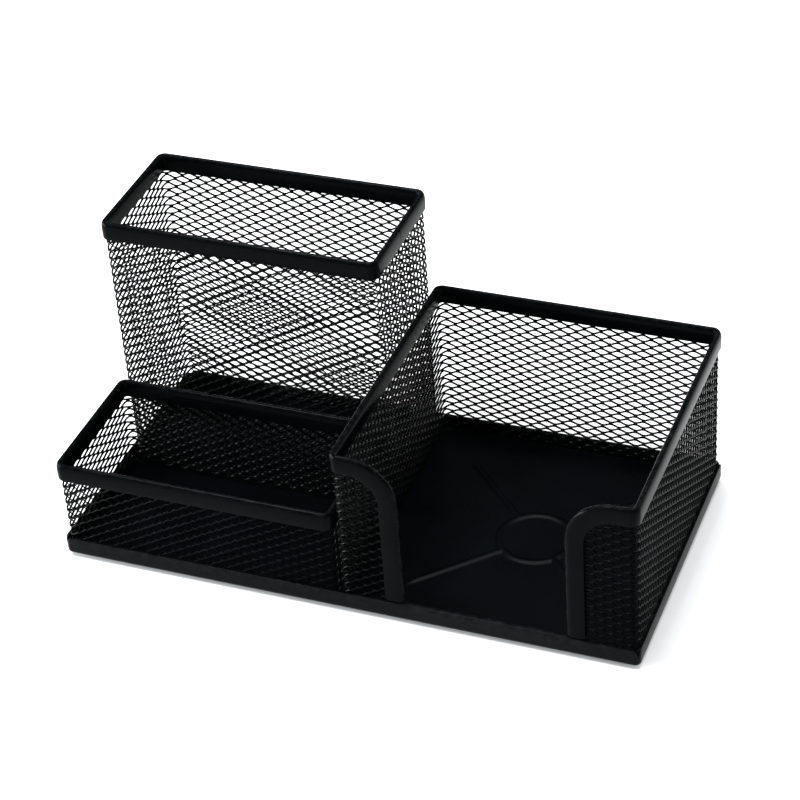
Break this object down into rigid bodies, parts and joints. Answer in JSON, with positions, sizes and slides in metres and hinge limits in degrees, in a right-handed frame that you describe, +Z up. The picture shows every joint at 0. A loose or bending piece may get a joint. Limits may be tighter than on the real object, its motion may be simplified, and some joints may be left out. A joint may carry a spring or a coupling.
{
  "type": "desk organizer",
  "caption": "Sheet-steel and expanded-metal desk organizer: tall pen cup, low clip tray and memo box with a cut-out front on one lipped base.",
  "frame": {"origin": "on the desk surface, under the middle of the base tray", "axes": "+Z up, +X along the length from the pen cup to the memo box, -Y is the front with the memo opening"},
  "size_m": [0.205, 0.1036, 0.1027],
  "materials": {
    "base_coat": "satin black powder coat",
    "rim_coat": "satin black powder coat",
    "mesh_coat": "satin black powder coat",
    "pad_foam": "matte"
  },
  "bodies": {
    "root": {"base_tray": "base_coat", "pen_cup_mesh": "mesh_coat", "pen_cup_rim": "rim_coat", "clip_tray_mesh": "mesh_coat", "clip_tray_rim": "rim_coat", "memo_box_mesh": "mesh_coat", "memo_box_rim": "rim_coat", "pad_front_left": "pad_foam", "pad_front_right": "pad_foam", "pad_back_left": "pad_foam", "pad_back_right": "pad_foam"}
  },
  "joints": []
}
